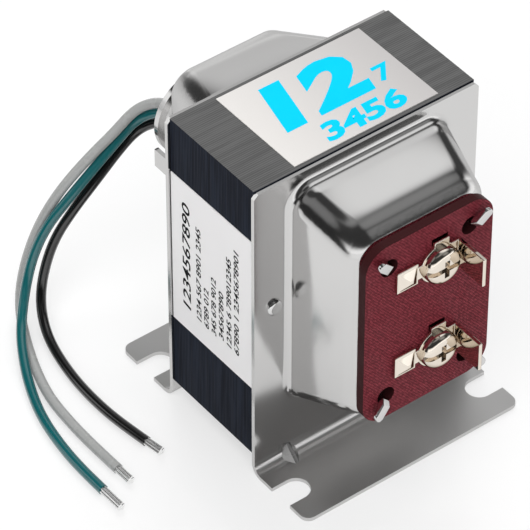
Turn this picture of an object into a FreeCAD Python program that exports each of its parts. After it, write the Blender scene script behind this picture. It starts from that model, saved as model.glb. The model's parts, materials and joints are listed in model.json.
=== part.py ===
"""Doorbell transformer: laminated core between two steel pressings, red terminal board, three leads.

Millimetres. +Z is up, the feet stand on Z = 0, the terminal board faces -Y and the leads leave at +Y.
The origin lies under the middle of the core, on the surface that the feet stand on.
"""

import FreeCAD
import Part
import Sketcher
import math
import os
import re

Vector = FreeCAD.Vector
OUT = Vector(0, 1, 0)
UP = Vector(0, 0, 1)

# Driving sizes
SIZES = {
    # Steel pressings
    "steel": 0.9,
    "frame_overhang": 0.55,
    "core_rise": 0.3,
    "stack_depth": 26.2,
    "foot_length": 16.7,
    "bend_radius": 2.0,
    "corner_cut": 1.0,
    "foot_corner": 2.0,
    "slot_width": 5.8,
    "slot_depth": 6.65,
    "slot_offset": 8.5,
    "gusset_inset": 8.3,
    "gusset_leg": 3.1,
    "gusset_width": 4.0,
    "gusset_ridge": 0.8,
    "gusset_end": 0.15,
    # Drawn bells
    "bell_overlap": 3.75,
    "bell_sink": 0.3,
    "bell_drop": 3.05,
    "bell_corner": 4.75,
    "bell_cove": 1.6,
    "bell_band": 2.1,
    "bell_depth": 17.0,
    "face_rise": 4.8,
    "face_drop": 4.75,
    "face_corner": 5.2,
    "front_taper": 3.05,
    "front_edge": 4.2,
    "rear_taper": 5.15,
    "rear_edge": 2.2,
    "window_margin": 2.6,
    "window_inset": 3.5,
    # Neck for the leads, and side lugs
    "neck_rise": 4.3,
    "neck_radius": 9.2,
    "neck_end": 27.2,
    "neck_flare": 3.4,
    "rim_radius": 10.15,
    "rim_thickness": 1.2,
    "lug_length": 3.5,
    "lug_drop": 10.2,
    "lug_height": 4.2,
    # Laminated core
    "core_width": 53.0,
    "core_bottom": 4.7,
    "core_height": 69.6,
    "rivet_inset": 4.1,
    "rivet_rise": 3.8,
    "rivet_radius": 1.5,
    "rivet_head_radius": 1.75,
    "rivet_head_height": 0.9,
    "rivet_round": 0.65,
    "rivet_clearance": 0.05,
    # Bobbin and windings
    "bobbin_clearance": 0.15,
    "bobbin_wall": 1.0,
    "flange_reach": 9.0,
    "flange_clearance": 1.6,
    "flange_corner": 8.0,
    "winding_inset": 1.5,
    "winding_corner": 7.0,
    "winding_clearance": 0.05,
    "tape": 0.3,
    "cutoff_radius": 1.9,
    "cutoff_margin": 2.1,
    "cutoff_drop": 5.6,
    # Leads, splices and bushing
    "lead_radius": 1.08,
    "lead_clearance": 0.08,
    "lead_side": -4.0,
    "lead_drop": 1.8,
    "lead_pitch": 2.7,
    "tip_radius": 0.95,
    "white_tip_length": 4.2,
    "green_tip_length": 6.0,
    "black_tip_length": 4.2,
    "bushing_length": 7.6,
    "bushing_recess": 0.6,
    "bushing_clearance": 0.1,
    "sleeve_radius": 1.28,
    "sleeve_length": 5.5,
    "inner_lead_length": 9.8,
    # Terminal board
    "board_inset": 0.2,
    "board_corner": 5.2,
    "board_thickness": 2.0,
    "tab_side_share": 0.636,
    "tab_end_inset": 5.75,
    "tab_width": 2.1,
    "tab_reach": 5.0,
    "tab_lift": 1.0,
    "tab_crest": 1.65,
    "tab_heel": 0.65,
    "tab_hole": 2.05,
    # Screw terminals
    "screw_side": 1.9,
    "upper_screw_drop": 10.4,
    "lower_screw_rise": 12.5,
    "screw_radius": 2.08,
    "screw_length": 7.0,
    "screw_clearance": 0.12,
    "head_radius": 4.1,
    "head_height": 2.3,
    "head_round": 1.7,
    "slot_cut": 1.15,
    "slot_sink": 1.1,
    "plate": 0.8,
    "plate_round": 4.5,
    "pad_left": 10.2,
    "pad_size": 5.1,
    "pad_neck": 3.2,
    "stud_size": 4.1,
    "stud_crest": 0.8,
    "stud_height": 1.2,
    "ear_place": 4.5,
    "ear_height": 6.9,
    "ear_length": 7.4,
    "tail_place": 0.5,
    "tail_width": 3.6,
    "tail_length": 5.0,
    "tail_slot": 1.5,
    "tail_clearance": 0.2,
    "wire_radius": 0.5,
    "wire_inset": 2.1,
    "wire_overlap": 1.5,
    # Labels
    "label": 0.15,
    "side_label_rise": 18.1,
    "side_label_drop": 13.1,
    "side_label_margin": 0.2,
    "top_label_left": 10.3,
    "top_label_right": 8.1,
    "top_label_margin": 0.9,
}

# Routes of the free leads, from the bushing's outer face to the tinned ends, chosen by hand
ROUTES = {
    "white_lead": [
        (-4.0, 40.6, 44.7), (-4.0, 44.4, 44.7), (-5.5, 48.0, 43.5), (-8.5, 50.4, 41.3),
        (-13.3, 50.6, 37.8), (-18.9, 51.5, 33.7), (-25.1, 52.6, 28.0), (-29.3, 54.0, 21.1),
        (-32.5, 54.7, 13.8), (-35.8, 53.5, 7.0), (-38.5, 50.3, 2.8), (-41.1, 44.8, 1.08),
        (-44.5, 36.8, 1.08), (-47.2, 27.8, 1.08), (-48.0, 19.3, 1.08), (-48.2, 11.0, 1.08),
        (-48.0, 3.0, 1.08),
    ],
    "green_lead": [
        (-4.0, 40.6, 42.0), (-4.0, 44.5, 42.0), (-5.4, 48.1, 40.7), (-8.4, 50.5, 38.3),
        (-12.9, 50.6, 35.1), (-18.5, 50.6, 31.1), (-25.0, 50.6, 26.3), (-30.1, 51.5, 20.9),
        (-33.7, 51.8, 14.4), (-37.3, 49.9, 8.0), (-41.1, 46.0, 4.2), (-44.6, 40.9, 3.1),
        (-48.4, 33.3, 1.3), (-51.7, 24.1, 1.08), (-53.3, 14.6, 1.08), (-53.8, 6.4, 1.08),
        (-53.7, 0.1, 1.08),
    ],
    "black_lead": [
        (-4.0, 40.6, 39.3), (-4.0, 44.7, 39.3), (-5.4, 48.3, 37.9), (-8.2, 50.5, 35.5),
        (-12.4, 50.7, 32.4), (-18.7, 50.2, 27.8), (-24.1, 50.5, 22.8), (-28.4, 51.0, 17.4),
        (-31.2, 50.8, 11.8), (-33.6, 49.6, 6.5), (-35.7, 46.5, 3.1), (-37.7, 41.3, 1.3),
        (-39.4, 34.0, 1.08), (-40.4, 26.2, 1.08), (-40.5, 18.2, 1.08), (-39.9, 11.6, 1.08),
        (-39.0, 5.7, 1.08),
    ],
}

doc = FreeCAD.newDocument("DoorbellTransformer")
sheet = doc.addObject("Spreadsheet::Sheet", "Sizes")
for row, (alias, size) in enumerate(SIZES.items(), start=1):
    sheet.set(f"A{row}", alias)
    sheet.set(f"B{row}", str(size))
    sheet.setAlias(f"B{row}", alias)
doc.recompute()


def value(alias):
    """Returns the number that the sheet holds under that alias."""
    return float(sheet.get(alias))


# Sketches, bodies and primitives bound to the sheet


def sized(formula):
    """Returns the formula with each alias in it turned into a reference to the sheet."""
    return re.sub(r"[a-z][a-z_]*", lambda word: "Sizes." + word.group(0), formula)


def value_of(formula):
    """Returns what a formula of aliases and plain numbers comes to now."""
    numbers = re.sub(r"[a-z][a-z_]*", lambda word: str(value(word.group(0))), formula)
    return FreeCAD.Units.Quantity(numbers).Value


# Places that several sub-parts share, worked out from the driving sizes
FRAME_WIDTH = "(core_width + 2 * frame_overhang)"
LEG_WIDTH = "(core_height / 6)"
CORE_TOP = "(core_bottom + core_height)"
CORE_MIDDLE = "(core_bottom + core_height / 2)"
FRAME_HEIGHT = f"({CORE_TOP} - core_rise)"
PLATE_FACE = "(stack_depth / 2 + steel)"
BELL_WIDTH = f"(core_width - 2 * {LEG_WIDTH} + 2 * bell_overlap)"
BELL_BOTTOM = f"(core_bottom + {LEG_WIDTH} - bell_sink)"
BELL_TOP = f"({FRAME_HEIGHT} - bell_drop)"
FACE_BOTTOM = f"({BELL_BOTTOM} + face_rise)"
FACE_TOP = f"({BELL_TOP} - face_drop)"
BOARD_BOTTOM = f"({FACE_BOTTOM} + board_inset)"
BOARD_TOP = f"({FACE_TOP} - board_inset)"
BOARD_SIDE = f"({BELL_WIDTH} / 2 - front_taper - board_inset)"
BOARD_BACK = f"({PLATE_FACE} + bell_depth)"
BOARD_FACE = f"({BOARD_BACK} + board_thickness)"
TAB_PLACE = f"({BOARD_SIDE} * tab_side_share)"
TAB_LEVELS = (f"({BOARD_BOTTOM} + tab_end_inset)", f"({BOARD_TOP} - tab_end_inset)")
SCREW_LEVELS = {
    "upper": f"({BOARD_TOP} - upper_screw_drop)",
    "lower": f"({BOARD_BOTTOM} + lower_screw_rise)",
}
TAIL_LEFT = "(screw_side + tail_place - tail_width / 2)"
RIVET_PLACE = "(core_width / 2 - rivet_inset)"
RIVET_HEIGHT = f"({CORE_MIDDLE} + rivet_rise)"
NECK_HEIGHT = f"({CORE_MIDDLE} + neck_rise)"
LEAD_FACE = f"({PLATE_FACE} + neck_end - bushing_recess)"
LEAD_LEVELS = [f"({NECK_HEIGHT} - lead_drop + {step} * lead_pitch)" for step in (1, 0, -1)]


def bind(feature, **formulas):
    """Ties properties to formulas; a double underscore in a name stands for a dot."""
    for path, formula in formulas.items():
        feature.setExpression(path.replace("__", "."), sized(formula))


def locate(feature, across="0", outward="0", up="0"):
    """Ties the place of a feature to three formulas."""
    bind(feature, Placement__Base__x=across, Placement__Base__y=outward, Placement__Base__z=up)


def new_body(label):
    """Returns an empty body with that label."""
    body = doc.addObject("PartDesign::Body", label.title().replace("_", ""))
    body.Label = label
    return body


def new_sketch(body, role, offset="0"):
    """Returns a sketch on one of the body's origin planes, offset along the plane's normal."""
    plane = next(item for item in body.Origin.OriginFeatures if item.Role == role)
    sketch = body.newObject("Sketcher::SketchObject", body.Name + "Sketch")
    sketch.AttachmentSupport = [(plane, "")]
    sketch.MapMode = "FlatFace"
    bind(sketch, AttachmentOffset__Base__z=offset)
    return sketch


def constrain(sketch, kind, geometry, formula):
    """Adds a constraint whose value is tied to the formula."""
    index = sketch.addConstraint(Sketcher.Constraint(kind, *geometry, value_of(formula)))
    sketch.setExpression(f"Constraints[{index}]", sized(formula))


def pin_point(sketch, line, point, across, along):
    """Ties a point of the sketch to two formulas, where "0" puts it on the sketch's axis."""
    for kind, axis, formula in (("DistanceX", -2, across), ("DistanceY", -1, along)):
        if formula == "0":
            sketch.addConstraint(Sketcher.Constraint("PointOnObject", line, point, axis))
        else:
            constrain(sketch, kind, (-1, 1, line, point), formula)


def draw_polygon(sketch, corners):
    """Draws a closed outline through corners given as pairs of formulas."""
    places = [Vector(value_of(across), value_of(along), 0) for across, along in corners]
    first = sketch.GeometryCount
    count = len(corners)
    for index in range(count):
        sketch.addGeometry(Part.LineSegment(places[index], places[(index + 1) % count]))
    for index in range(count):
        following = first + (index + 1) % count
        sketch.addConstraint(Sketcher.Constraint("Coincident", first + index, 2, following, 1))
        pin_point(sketch, first + index, 1, *corners[index])


def draw_circle(sketch, across, along, radius):
    """Draws a circle whose centre and radius are formulas."""
    centre = Vector(value_of(across), value_of(along), 0)
    index = sketch.addGeometry(Part.Circle(centre, UP, value_of(radius)))
    pin_point(sketch, index, 3, across, along)
    constrain(sketch, "Radius", (index,), radius)


def draw_rounded(sketch, left, right, bottom, top, radius):
    """Draws a rectangle with round corners from five formulas."""
    low, high, base, crest, bend = (value_of(text) for text in (left, right, bottom, top, radius))
    turns = (
        (high - bend, base + bend, -90),
        (high - bend, crest - bend, 0),
        (low + bend, crest - bend, 90),
        (low + bend, base + bend, 180),
    )
    arcs, sides = [], []
    for across, along, start in turns:
        circle = Part.Circle(Vector(across, along, 0), UP, bend)
        begin = math.radians(start)
        arcs.append(sketch.addGeometry(Part.ArcOfCircle(circle, begin, begin + math.pi / 2)))
    for index in range(4):
        following = (index + 1) % 4
        ends = (sketch.getPoint(arcs[index], 2), sketch.getPoint(arcs[following], 1))
        sides.append(sketch.addGeometry(Part.LineSegment(*ends)))
        sketch.addConstraint(Sketcher.Constraint("Tangent", arcs[index], 2, sides[index], 1))
        sketch.addConstraint(Sketcher.Constraint("Tangent", sides[index], 2, arcs[following], 1))
        level = "Horizontal" if index % 2 else "Vertical"
        sketch.addConstraint(Sketcher.Constraint(level, sides[index]))
    for arc in arcs[1:]:
        sketch.addConstraint(Sketcher.Constraint("Equal", arcs[0], arc))
    constrain(sketch, "Radius", (arcs[0],), radius)
    for kind, side, formula in (
        ("DistanceX", sides[0], right),
        ("DistanceX", sides[2], left),
        ("DistanceY", sides[3], bottom),
        ("DistanceY", sides[1], top),
    ):
        constrain(sketch, kind, (-1, 1, side, 1), formula)


def pad(body, sketch, length):
    """Raises the sketch along its normal by a formula."""
    feature = body.newObject("PartDesign::Pad", body.Name + "Pad")
    feature.Profile = sketch
    bind(feature, Length=length)
    return feature


def pocket(body, sketch, length):
    """Sinks the sketch against its normal by a formula."""
    feature = body.newObject("PartDesign::Pocket", body.Name + "Pocket")
    feature.Profile = sketch
    bind(feature, Length=length)
    return feature


def turn(body, sketch):
    """Turns the sketch once about its own upright axis."""
    feature = body.newObject("PartDesign::Revolution", body.Name + "Turn")
    feature.Profile = sketch
    feature.ReferenceAxis = (sketch, ["V_Axis"])
    feature.Angle = 360
    return feature


def fillet(body, feature, test, radius):
    """Rounds those edges of the feature that pass the test."""
    doc.recompute()
    names = [f"Edge{i}" for i, edge in enumerate(feature.Shape.Edges, start=1) if test(edge)]
    rounding = body.newObject("PartDesign::Fillet", body.Name + "Fillet")
    rounding.Base = (feature, names)
    bind(rounding, Radius=radius)
    return rounding


def is_rim(edge, radius, outward):
    """True for a full circle of that radius at that place along Y."""
    if not isinstance(edge.Curve, Part.Circle):
        return False
    same_radius = math.isclose(edge.Curve.Radius, radius, abs_tol=1e-4)
    return same_radius and math.isclose(edge.Curve.Center.y, outward, abs_tol=1e-4)


def box(name, corner, size):
    """Returns a box from formulas for its lowest corner and its three sizes."""
    feature = doc.addObject("Part::Box", name)
    locate(feature, *corner)
    bind(feature, Length=size[0], Width=size[1], Height=size[2])
    return feature


def rod(name, place, radius, length, axis=OUT):
    """Returns a cylinder along the axis from formulas for its place and sizes."""
    feature = doc.addObject("Part::Cylinder", name)
    feature.Placement = FreeCAD.Placement(Vector(), FreeCAD.Rotation(UP, axis))
    locate(feature, *place)
    bind(feature, Radius=radius, Height=length)
    return feature


def fused(name, pieces):
    """Returns the pieces as one solid."""
    feature = doc.addObject("Part::MultiFuse", name)
    feature.Shapes = pieces
    feature.Refine = True
    return feature


def less(name, base, tool):
    """Returns the base with the tool cut from it."""
    feature = doc.addObject("Part::Cut", name)
    feature.Base = base
    feature.Tool = tool
    return feature


def grouped(label, pieces):
    """Returns separate solids as one sub-part."""
    feature = doc.addObject("Part::Compound", label.title().replace("_", ""))
    feature.Links = pieces
    return named(label, feature)


def named(label, feature):
    """Gives the feature its label as a sub-part."""
    feature.Label = label
    return feature


def shaped(label, shape):
    """Returns a feature that holds a shape made with Part's own functions."""
    feature = doc.addObject("Part::Feature", label.title().replace("_", ""))
    feature.Shape = shape
    return named(label, feature)


# Steel pressings: plate, foot, bell, and what each one has of its own


def rounded_wire(half_width, bottom, top, radius, outward):
    """Returns a round-cornered rectangle in a plane across Y."""
    corners = (
        (half_width, bottom, -90),
        (half_width, top, 0),
        (-half_width, top, 90),
        (-half_width, bottom, 180),
    )
    arcs = []
    for across, height, start in corners:
        inward = Vector(-math.copysign(radius, across), 0, radius if height == bottom else -radius)
        centre = Vector(across, outward, height) + inward
        points = []
        for angle in (start, start + 45, start + 90):
            bearing = math.radians(angle)
            points.append(centre + Vector(math.cos(bearing), 0, math.sin(bearing)) * radius)
        arcs.append(Part.Arc(*points).toShape())
    edges = []
    for index, arc in enumerate(arcs):
        following = arcs[(index + 1) % 4]
        start, end = arc.valueAt(arc.LastParameter), following.valueAt(following.FirstParameter)
        edges.append(arc)
        edges.append(Part.makeLine(start, end))
    return Part.Wire(edges)


def edges_at(shape, outward, inset=0):
    """Returns the bell's edges, or with an inset the hollow's, in the plane across Y at that place."""
    side = value_of(BELL_WIDTH) / 2 - inset
    bottom, top = value_of(BELL_BOTTOM) + inset, value_of(BELL_TOP) - inset
    found = []
    for edge in shape.Edges:
        bounds = edge.BoundBox
        in_plane = bounds.YLength < 1e-4 and math.isclose(bounds.YMin, outward, abs_tol=1e-3)
        across = max(abs(bounds.XMin), abs(bounds.XMax)) < side + 1e-3
        if in_plane and across and bounds.ZMin > bottom - 1e-3 and bounds.ZMax < top + 1e-3:
            found.append(edge)
    return found


def bell_solid(taper, edge, inset):
    """Returns the bell's outer form, or with an inset the hollow inside its wall."""
    plate_face = value_of(PLATE_FACE)
    half_width = value_of(BELL_WIDTH) / 2
    band = (half_width, value_of(BELL_BOTTOM), value_of(BELL_TOP), value("bell_corner"))
    face = (half_width - taper, value_of(FACE_BOTTOM), value_of(FACE_TOP), value("face_corner"))
    crown = plate_face + value("bell_depth") - inset
    rings = [
        (band, value("stack_depth") / 2 - inset),
        (band, plate_face + value("bell_band")),
        (face, crown),
    ]
    wires = []
    for (side, bottom, top, radius), outward in rings:
        wires.append(
            rounded_wire(side - inset, bottom + inset, top - inset, radius - inset, outward)
        )
    solid = Part.makeLoft(wires, True, True)
    return solid.makeFillet(edge - inset, edges_at(solid, crown))


def plate_and_foot():
    """Returns the bent sheet: upright plate, bend and foot, extruded along X from its side view."""
    steel, bend = value("steel"), value("bend_radius")
    back, face = value("stack_depth") / 2, value_of(PLATE_FACE)
    toe = face + value("foot_length")
    height = value_of(FRAME_HEIGHT)
    half_turn = math.sqrt(0.5)

    def bend_arc(radius, reverse):
        centre = Vector(0, face + bend, steel + bend)
        ends = [centre - OUT * radius, centre - UP * radius]
        middle = centre - (OUT + UP) * radius * half_turn
        if reverse:
            ends.reverse()
        return Part.Arc(ends[0], middle, ends[1]).toShape()

    outside, inside = bend_arc(bend + steel, False), bend_arc(bend, True)
    corners = [Vector(0, toe, 0), Vector(0, toe, steel)]
    crest = [Vector(0, face, height), Vector(0, back, height)]
    edges = [
        outside,
        Part.makeLine(Vector(0, face + bend, 0), corners[0]),
        Part.makeLine(*corners),
        Part.makeLine(corners[1], Vector(0, face + bend, steel)),
        inside,
        Part.makeLine(Vector(0, face, steel + bend), crest[0]),
        Part.makeLine(*crest),
        Part.makeLine(crest[1], Vector(0, back, steel + bend)),
    ]
    width = value_of(FRAME_WIDTH)
    section = Part.Face(Part.Wire(edges)).translated(Vector(-width / 2, 0, 0))
    sheet_metal = section.extrude(Vector(width, 0, 0))
    top_corners = [
        edge for edge in sheet_metal.Edges
        if edge.CenterOfMass.z > height - 1e-6 and abs(edge.CenterOfMass.x) > width / 2 - 1e-6
    ]
    sheet_metal = sheet_metal.makeChamfer(value("corner_cut"), top_corners)
    toe_corners = [
        edge for edge in sheet_metal.Edges
        if edge.CenterOfMass.y > toe - 1e-6 and abs(edge.CenterOfMass.x) > width / 2 - 1e-6
    ]
    return sheet_metal.makeFillet(value("foot_corner"), toe_corners)


def foot_slots():
    """Returns the two slots, open at the foot's ends, as solids to cut away."""
    radius = value("slot_width") / 2
    edge = value_of(FRAME_WIDTH) / 2
    outward = value_of(PLATE_FACE) + value("slot_offset")
    height = value("steel") * 3
    slots = []
    for side in (-1, 1):
        centre = side * (edge - value("slot_depth") + radius)
        start = Vector(centre, outward, -value("steel"))
        slots.append(Part.makeCylinder(radius, height, start))
        reach = value("slot_depth")
        low = min(centre, centre + side * reach)
        slots.append(Part.makeBox(reach, 2 * radius, height, Vector(low, outward - radius, start.z)))
    return slots


def gussets():
    """Returns the two darts that stiffen the bend: a flat ridge that slopes away to both sides."""
    steel, leg = value("steel"), value("gusset_leg")
    face = value_of(PLATE_FACE)
    bite = steel / 2
    depth = (value("bend_radius") + bite) * (1 - math.sqrt(0.5)) - bite
    root = Vector(0, face + depth, steel + depth)
    outline = [
        root,
        Vector(0, face + leg, steel - bite),
        Vector(0, face + leg, steel),
        Vector(0, face, steel + leg),
        Vector(0, face - bite, steel + leg),
    ]
    ridge, base, share = value("gusset_ridge") / 2, value("gusset_width") / 2, value("gusset_end")
    sections = []
    for across, size in ((-base, share), (-ridge, 1), (ridge, 1), (base, share)):
        points = [root + (point - root) * size + Vector(across, 0, 0) for point in outline]
        sections.append(Part.makePolygon(points + points[:1]))
    dart = Part.makeLoft(sections, True, True)
    place = value_of(FRAME_WIDTH) / 2 - value("gusset_inset")
    return [dart.translated(Vector(side * place, 0, 0)) for side in (-1, 1)]


def pressing(taper, edge):
    """Returns what both pressings share: plate, foot, slots, gussets and hollow bell with its coves."""
    steel, cove = value("steel"), value("bell_cove")
    solid = plate_and_foot().fuse([bell_solid(taper, edge, 0)] + gussets())
    solid = solid.makeFillet(cove, edges_at(solid, value_of(PLATE_FACE)))
    solid = solid.cut([bell_solid(taper, edge, steel)] + foot_slots())
    solid = solid.makeFillet(cove + steel, edges_at(solid, value("stack_depth") / 2, steel))
    radius = value("rivet_radius") + value("rivet_clearance")
    place, height = value_of(RIVET_PLACE), value_of(RIVET_HEIGHT)
    for side in (-1, 1):
        start = Vector(side * place, value("stack_depth") / 2 - steel, height)
        solid = solid.cut(Part.makeCylinder(radius, steel * 3, start, OUT))
    return solid


def neck():
    """Returns the neck that is drawn from the rear bell's face: flare, tube and rolled rim."""
    steel, radius, flare = value("steel"), value("neck_radius"), value("neck_flare")
    face = value_of(BOARD_BACK)
    end = value_of(PLATE_FACE) + value("neck_end")
    rim, shoulder = value("rim_radius"), end - value("rim_thickness")
    middle = math.sqrt(0.5) * flare
    centre = Vector(radius + flare, face + flare, 0)
    arc = Part.Arc(
        Vector(radius, face + flare, 0),
        centre - Vector(middle, middle, 0),
        Vector(radius + flare, face, 0),
    )
    corners = [
        Vector(radius + flare, face, 0),
        Vector(radius + flare, face - steel / 2, 0),
        Vector(radius - steel, face - steel, 0),
        Vector(radius - steel, end, 0),
        Vector(rim, end, 0),
        Vector(rim, shoulder, 0),
        Vector(radius, shoulder, 0),
        Vector(radius, face + flare, 0),
    ]
    outline = Part.Wire([arc.toShape()] + Part.makePolygon(corners).Edges)
    tube = Part.Face(outline).revolve(Vector(), OUT, 360)
    return tube.translated(Vector(0, 0, value_of(NECK_HEIGHT)))


def rear_pressing():
    """Returns the rear pressing, with the neck and the side lugs."""
    solid = pressing(value("rear_taper"), value("rear_edge"))
    face = value_of(PLATE_FACE)
    steel = value("steel")
    bore = Part.makeCylinder(
        value("neck_radius") - steel,
        value("neck_end"),
        Vector(0, face, value_of(NECK_HEIGHT)),
        OUT,
    )
    height, width = value("lug_height"), value_of(FRAME_WIDTH)
    bottom = value_of(FRAME_HEIGHT) - value("lug_drop") - height
    lugs = []
    for side in (-1, 1):
        low = side * width / 2 - (steel if side > 0 else 0)
        start = Vector(low, face - steel / 2, bottom)
        lugs.append(Part.makeBox(steel, value("lug_length") + steel / 2, height, start))
    return solid.fuse([neck()] + lugs).cut(bore)


def board_tab():
    """Returns a clinched tab that points along +X, with the board's face at Y = 0."""
    steel, reach, lift = value("steel"), value("tab_reach"), value("tab_lift")
    width, gap = value("tab_width"), value("tail_clearance")
    root = -value("board_thickness") - steel / 2
    side = steel / 2
    outline = [
        Vector(side, root, 0),
        Vector(side + steel, root, 0),
        Vector(side + steel, gap, 0),
        Vector(reach, gap + lift, 0),
        Vector(reach, gap + lift + steel, 0),
        Vector(side + steel, value("tab_crest"), 0),
        Vector(side, value("tab_heel"), 0),
    ]
    strip = Part.Face(Part.makePolygon(outline + outline[:1])).extrude(UP * width)
    strip.translate(UP * (-width / 2))
    tip = Vector(reach - width / 2, root - steel, 0)
    span = value("board_thickness") + reach + steel * 4
    blank = Part.makeCylinder(width / 2, span, tip, OUT)
    shank = Part.makeBox(reach, span, width, Vector(-width / 2, tip.y, -width / 2))
    return strip.common(shank.fuse(blank))


def front_pressing():
    """Returns the front pressing, with the window behind the board and the board's four tabs."""
    solid = pressing(value("front_taper"), value("front_edge"))
    steel, width = value("steel"), 2 * (value_of(TAB_PLACE) - value("window_margin"))
    face = value_of(BOARD_BACK)
    bottom = value_of(BOARD_BOTTOM) + value("window_inset")
    height = value_of(BOARD_TOP) - value("window_inset") - bottom
    window = Part.makeBox(width, steel * 3, height, Vector(-width / 2, face - 2 * steel, bottom))
    solid = solid.cut(window)
    tab_width, depth = value("tab_width"), value("board_thickness") + steel * 3
    for across in (-1, 1):
        for level in TAB_LEVELS:
            up = -1 if level == TAB_LEVELS[0] else 1
            place = Vector(across * value_of(TAB_PLACE), value_of(BOARD_FACE), value_of(level))
            lance = Part.makeBox(tab_width, depth, tab_width)
            lance.translate(Vector(steel / 2 - tab_width, -depth, -tab_width / 2))
            tab = board_tab()
            for shape in (tab, lance):
                shape.rotate(Vector(), OUT, -math.degrees(math.atan2(up, across)))
                shape.translate(place)
            solid = solid.cut(lance).fuse(tab)
    solid.rotate(Vector(), UP, 180)
    return solid


shaped("front_frame", front_pressing())
shaped("rear_frame", rear_pressing())


# Laminated core


RIVET_HOLE = "rivet_radius + rivet_clearance"


def lamination_stack(label, corners, hole_place):
    """Returns a stack of laminations from its outline, with a hole for the core rivet."""
    body = new_body(label)
    sketch = new_sketch(body, "XZ_Plane", "-stack_depth / 2")
    draw_polygon(sketch, corners)
    draw_circle(sketch, hole_place, RIVET_HEIGHT, RIVET_HOLE)
    pad(body, sketch, "stack_depth")


BACK, SEAM = "-core_width / 2", f"core_width / 2 - {LEG_WIDTH}"
INNER = f"-core_width / 2 + {LEG_WIDTH}"
LOWER_LEG, UPPER_LEG = f"core_bottom + {LEG_WIDTH}", f"{CORE_TOP} - {LEG_WIDTH}"
MIDDLE_LOW, MIDDLE_HIGH = f"{CORE_MIDDLE} - {LEG_WIDTH}", f"{CORE_MIDDLE} + {LEG_WIDTH}"

lamination_stack(
    "e_laminations",
    [
        (BACK, "core_bottom"),
        (SEAM, "core_bottom"),
        (SEAM, LOWER_LEG),
        (INNER, LOWER_LEG),
        (INNER, MIDDLE_LOW),
        (SEAM, MIDDLE_LOW),
        (SEAM, MIDDLE_HIGH),
        (INNER, MIDDLE_HIGH),
        (INNER, UPPER_LEG),
        (SEAM, UPPER_LEG),
        (SEAM, CORE_TOP),
        (BACK, CORE_TOP),
    ],
    f"-{RIVET_PLACE}",
)
lamination_stack(
    "i_laminations",
    [
        (SEAM, "core_bottom"),
        ("core_width / 2", "core_bottom"),
        ("core_width / 2", CORE_TOP),
        (SEAM, CORE_TOP),
    ],
    RIVET_PLACE,
)


# Core rivets


def core_rivet(name, side):
    """Returns one rivet, headed on both pressings, at that side."""
    body = new_body(name)
    sketch = new_sketch(body, "XY_Plane")
    seat = PLATE_FACE
    crown = f"{seat} + rivet_head_height"
    draw_polygon(
        sketch,
        [
            ("0", f"-({crown})"),
            ("rivet_head_radius", f"-({crown})"),
            ("rivet_head_radius", f"-({seat})"),
            ("rivet_radius", f"-({seat})"),
            ("rivet_radius", seat),
            ("rivet_head_radius", seat),
            ("rivet_head_radius", crown),
            ("0", crown),
        ],
    )
    shank = turn(body, sketch)
    head, outward = value("rivet_head_radius"), value_of(crown)

    def crowned(edge):
        return is_rim(edge, head, outward) or is_rim(edge, head, -outward)

    fillet(body, shank, crowned, "rivet_round")
    locate(body, f"{side} * {RIVET_PLACE}", "0", RIVET_HEIGHT)
    return body


grouped("core_rivets", [core_rivet("left_rivet", -1), core_rivet("right_rivet", 1)])


# Bobbin, windings and tape round the middle leg


def leg_ring(body, start, length, outward, rise, corner, hole=None):
    """Adds a ring round the middle leg: half sizes along Y and Z, and those of its hole."""
    sketch = new_sketch(body, "YZ_Plane", start)
    low, high = f"{CORE_MIDDLE} - ({rise})", f"{CORE_MIDDLE} + ({rise})"
    draw_rounded(sketch, f"-({outward})", outward, low, high, corner)
    if hole:
        out, up, bend = hole
        low, high = f"{CORE_MIDDLE} - ({up})", f"{CORE_MIDDLE} + ({up})"
        draw_rounded(sketch, f"-({out})", out, low, high, bend)
    return pad(body, sketch, length)


BORE = (
    "stack_depth / 2 + bobbin_clearance",
    f"{LEG_WIDTH} + bobbin_clearance",
    "2 * bobbin_clearance",
)
TUBE = tuple(f"{size} + bobbin_wall" for size in BORE[:2]) + ("bobbin_wall",)
HALF_BOBBIN = f"core_width / 2 - {LEG_WIDTH} - bobbin_clearance"
FLANGE_OUT = "stack_depth / 2 + bobbin_clearance + bobbin_wall + flange_reach"
FLANGE_RISE = f"core_height / 2 - {LEG_WIDTH} - flange_clearance"

bobbin = new_body("bobbin")
leg_ring(bobbin, f"-({HALF_BOBBIN})", f"2 * ({HALF_BOBBIN})", *TUBE, BORE)
for start in (f"-({HALF_BOBBIN})", "-bobbin_wall / 2", f"{HALF_BOBBIN} - bobbin_wall"):
    leg_ring(bobbin, start, "bobbin_wall", FLANGE_OUT, FLANGE_RISE, "flange_corner", BORE)

CHAMBER = f"{HALF_BOBBIN} - 1.5 * bobbin_wall - 2 * winding_clearance"
CHAMBERS = {
    "primary": f"-({HALF_BOBBIN}) + bobbin_wall + winding_clearance",
    "secondary": "bobbin_wall / 2 + winding_clearance",
}
WINDING_HOLE = tuple(f"{size} + winding_clearance" for size in TUBE)
WINDING_OUT = f"{FLANGE_OUT} - winding_inset"
WINDING_RISE = f"{FLANGE_RISE} - winding_inset"
TAPE_HOLE = tuple(
    f"{size} + winding_clearance" for size in (WINDING_OUT, WINDING_RISE, "winding_corner")
)
for half, start in CHAMBERS.items():
    winding = new_body(f"{half}_winding")
    leg_ring(
        winding, start, CHAMBER, WINDING_OUT, WINDING_RISE, "winding_corner", WINDING_HOLE
    )
    wrap = new_body(f"{half}_wrap")
    leg_ring(wrap, start, CHAMBER, *(f"{size} + tape" for size in TAPE_HOLE), TAPE_HOLE)

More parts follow.
